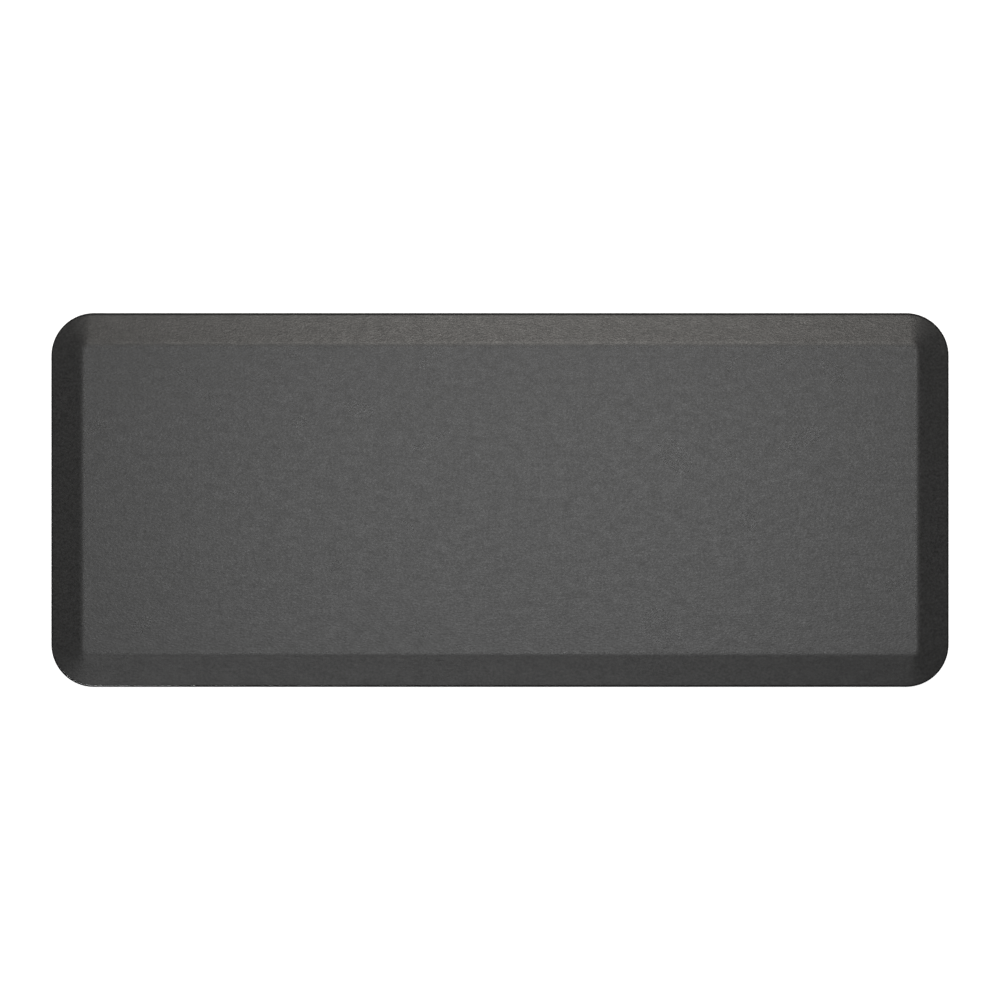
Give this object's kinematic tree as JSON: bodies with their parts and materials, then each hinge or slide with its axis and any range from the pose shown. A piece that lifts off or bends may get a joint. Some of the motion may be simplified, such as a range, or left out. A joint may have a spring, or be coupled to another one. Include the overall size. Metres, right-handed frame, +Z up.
{
  "type": "anti fatigue mat",
  "caption": "Cushioned standing mat with a flat embossed top, sloping bevelled borders on all sides, round corners and a non-slip base sheet.",
  "frame": {"origin": "centre of the underside, on the floor", "axes": "+X along the mat's length, +Y across its width, +Z up, from the floor to the standing surface"},
  "size_m": [1.2192, 0.508, 0.019],
  "materials": {
    "top_skin": "satin, with a fine embossed grain",
    "comfort_foam": "open-pored soft foam",
    "support_foam": "close-pored firm foam",
    "base_sheet": "matte, non-slip"
  },
  "bodies": {
    "root": {"top_skin": "top_skin", "comfort_foam": "comfort_foam", "support_foam": "support_foam", "base_sheet": "base_sheet"}
  },
  "joints": []
}
